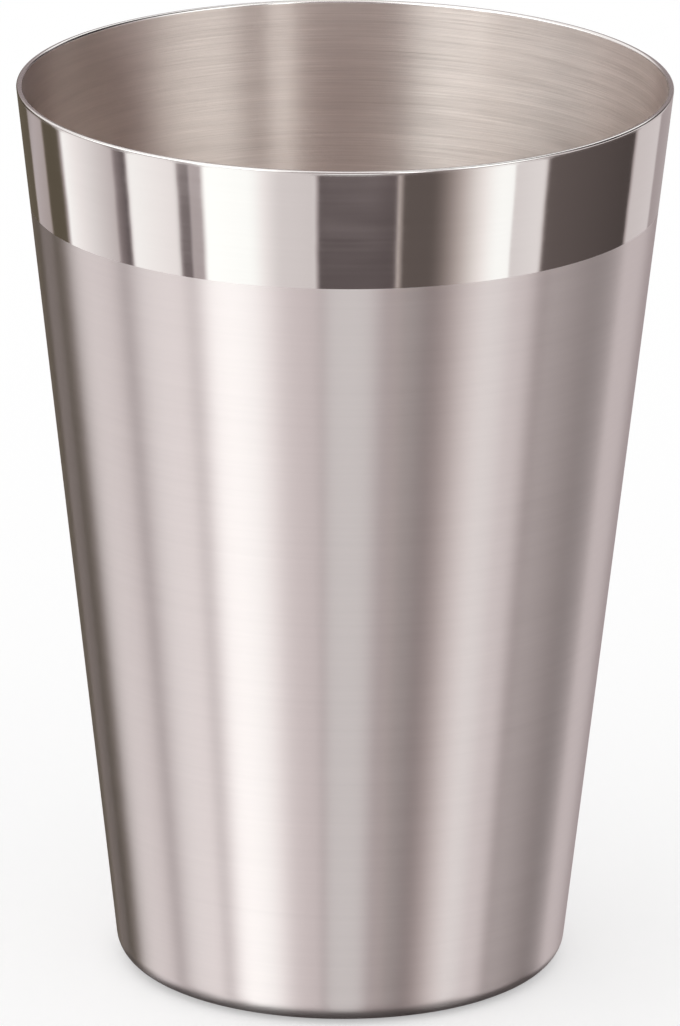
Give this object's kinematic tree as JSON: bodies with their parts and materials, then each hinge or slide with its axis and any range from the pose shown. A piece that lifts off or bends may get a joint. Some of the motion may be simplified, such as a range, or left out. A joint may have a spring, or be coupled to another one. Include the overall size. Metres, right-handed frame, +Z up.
{
  "type": "deep drawn metal cup",
  "caption": "Tapered steel tumbler drawn from sheet metal, with a satin wall, a mirror-polished band below the trimmed rim and a pressed-up base that stands on a flat ring.",
  "frame": {"origin": "centre of the foot ring, on the surface that the cup stands on", "axes": "+Z up along the cup's axis, from base to mouth; the cup is round, so X and Y are free"},
  "size_m": [0.088, 0.088, 0.123],
  "materials": {
    "steel": "satin, brushed round the axis inside and out, with a mirror-polished band outside below the rim and a buffed rim edge"
  },
  "bodies": {
    "root": {"cup": "steel"}
  },
  "joints": []
}
